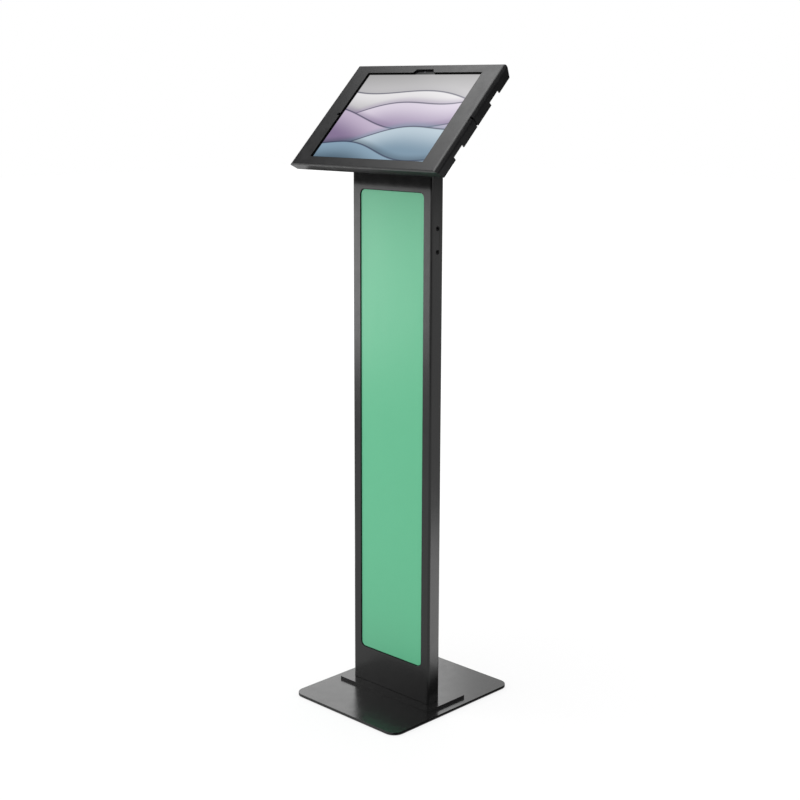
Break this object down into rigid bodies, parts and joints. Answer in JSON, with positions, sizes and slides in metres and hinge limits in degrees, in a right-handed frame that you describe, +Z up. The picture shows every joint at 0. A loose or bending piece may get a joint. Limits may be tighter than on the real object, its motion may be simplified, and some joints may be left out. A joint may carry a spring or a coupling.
{
  "type": "tablet security kiosk stand",
  "caption": "Floor-standing tablet kiosk: flat base, slim column with a graphic panel, and a tilted locking head that turns between landscape and portrait.",
  "frame": {"origin": "on the floor under the centre of the base plate", "axes": "+Z up, the front faces -Y, +X to the right of a viewer standing in front"},
  "size_m": [0.343, 0.302, 1.1131],
  "materials": {
    "powder_coat_black": "satin powder coat",
    "powder_coat_grey": "satin dark grey powder coat",
    "zinc_steel": "zinc plated",
    "black_steel": "black oxide",
    "panel_print": "satin printed sheet",
    "rubber": "matt",
    "moulded_plastic": "fine grained",
    "nylon": "natural",
    "foam": "closed-cell foam",
    "tablet_shell": "blasted and anodised",
    "bezel_glass": "black printed glass",
    "display": "lit display",
    "lens": "coated lens",
    "chrome_lock": "polished"
  },
  "bodies": {
    "stand": {"base_plate": "powder_coat_black", "rubber_pads": "rubber", "foot_plate": "powder_coat_black", "foot_screws": "zinc_steel", "column_shoe": "zinc_steel", "column_bolts": "zinc_steel", "column_nuts": "zinc_steel", "column_shell": "powder_coat_black", "panel_backer": "black_steel", "panel_magnets": "zinc_steel", "rear_cover": "powder_coat_black", "rear_screws": "black_steel", "rear_nuts": "zinc_steel", "outlet_grommet": "rubber", "column_cap": "moulded_plastic", "head_bracket": "powder_coat_black", "bracket_screws": "black_steel", "bracket_nuts": "zinc_steel", "pivot_bolt": "zinc_steel", "friction_washer": "nylon", "spring_washer": "zinc_steel", "pivot_nut": "zinc_steel", "stop_pin": "zinc_steel"},
    "graphic": {"graphic_panel": "panel_print"},
    "head": {"rotor_plate": "zinc_steel", "tray_screws": "zinc_steel", "tray": "powder_coat_black", "tray_grommet": "rubber", "foam_pads": "foam", "tablet_guides": "moulded_plastic", "tablet_body": "tablet_shell", "tablet_bezel": "bezel_glass", "tablet_display": "display", "tablet_camera": "lens", "tray_hinges": "zinc_steel", "hinge_pins": "zinc_steel", "lock_barrel": "chrome_lock", "lock_nut": "zinc_steel"},
    "lock": {"lock_plug": "chrome_lock", "lock_cam": "zinc_steel", "cam_screw": "zinc_steel"},
    "cover": {"front_cover": "powder_coat_grey", "cover_seal": "foam", "cover_hinges": "powder_coat_grey", "cover_catch": "powder_coat_grey"}
  },
  "joints": [
    {"name": "head_turn", "type": "hinge", "parent": "stand", "child": "head", "pos_m": [0, -0.0253, 1.0315], "axis": [0, 0.7071, -0.7071], "range_deg": [0, 90]},
    {"name": "cover_hinge", "type": "hinge", "parent": "head", "child": "cover", "pos_m": [0, 0.05903, 1.09178], "axis": [-1, 0, 0], "range_deg": [0, 95]},
    {"name": "lock_turn", "type": "hinge", "parent": "head", "child": "lock", "pos_m": [0.1535, -0.0253, 1.0315], "axis": [0, -0.7071, 0.7071], "range_deg": [0, 90]},
    {"name": "panel_pull", "type": "slide", "parent": "stand", "child": "graphic", "axis": [0, -1, 0], "range_m": [0, 0.08]}
  ]
}
